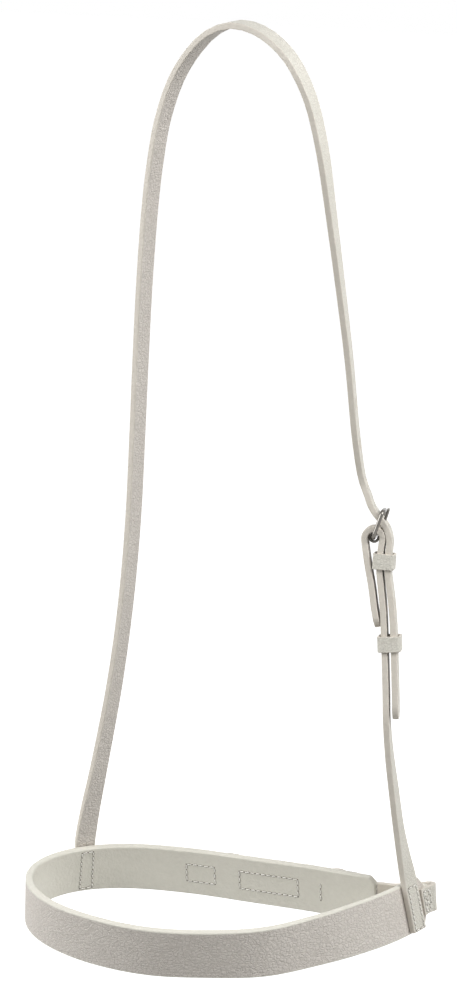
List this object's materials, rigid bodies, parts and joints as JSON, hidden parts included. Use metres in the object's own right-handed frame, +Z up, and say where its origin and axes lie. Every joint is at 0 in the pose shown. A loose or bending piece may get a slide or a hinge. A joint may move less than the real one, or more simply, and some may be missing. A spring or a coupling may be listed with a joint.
{
  "type": "bridle noseband",
  "caption": "Bridle noseband hung from a narrow headpiece that buckles at one cheek, with a wide shaped nose band closed under the chin by a buckled strap and keepers",
  "frame": {"origin": "on the underside of the headpiece, where it passes over the poll", "axes": "+Z up, +X to the horse's right cheek strap as worn, -Y to the nose, +Y to the chin"},
  "size_m": [0.2367, 0.1389, 0.5333],
  "materials": {
    "band": "pebbled synthetic leather, pale grey beige",
    "strap": "smooth synthetic leather with a fine grain, pale grey beige",
    "keeper": "smooth synthetic leather, a little darker",
    "steel": "polished nickel-plated wire",
    "thread": "off-white waxed thread"
  },
  "bodies": {
    "straps": {"nose_band": "band", "headpiece_strap": "strap", "cheek_strap": "strap", "cheek_keeper_fixed": "keeper", "chin_buckle_chape": "strap", "chin_strap": "strap", "chin_keeper_first": "keeper", "chin_keeper_second": "keeper", "headpiece_joint_thread": "thread", "cheek_joint_thread": "thread", "chin_strap_thread": "thread", "chape_long_thread": "thread", "chape_short_thread": "thread", "chape_line_thread": "thread"},
    "cheek_buckle": {"cheek_buckle_frame": "steel"},
    "cheek_tongue": {"cheek_buckle_tongue": "steel"},
    "cheek_runner": {"cheek_keeper_runner": "keeper"},
    "chin_buckle": {"chin_buckle_frame": "steel"},
    "chin_tongue": {"chin_buckle_tongue": "steel"}
  },
  "joints": [
    {"name": "cheek_buckle_rock", "type": "hinge", "parent": "straps", "child": "cheek_buckle", "pos_m": [0.0789, 0.014, -0.2931], "axis": [-0.1614, 0.9647, -0.2079], "range_deg": [-3, 0.8]},
    {"name": "cheek_tongue_swing", "type": "hinge", "parent": "cheek_buckle", "child": "cheek_tongue", "pos_m": [0.0789, 0.014, -0.2931], "axis": [-0.1614, 0.9647, -0.2079], "range_deg": [0, 0.5]},
    {"name": "cheek_runner_slide", "type": "slide", "parent": "straps", "child": "cheek_runner", "axis": [0.097, -0.1941, -0.9762], "range_m": [-0.003, 0.02]},
    {"name": "chin_buckle_rock", "type": "hinge", "parent": "straps", "child": "chin_buckle", "pos_m": [0.05738, 0.01774, -0.51384], "axis": [-0.011, -0.0988, 0.9951], "range_deg": [-1, 3]},
    {"name": "chin_tongue_swing", "type": "hinge", "parent": "chin_buckle", "child": "chin_tongue", "pos_m": [0.05738, 0.01774, -0.51384], "axis": [-0.011, -0.0988, 0.9951], "range_deg": [0, 2]}
  ]
}
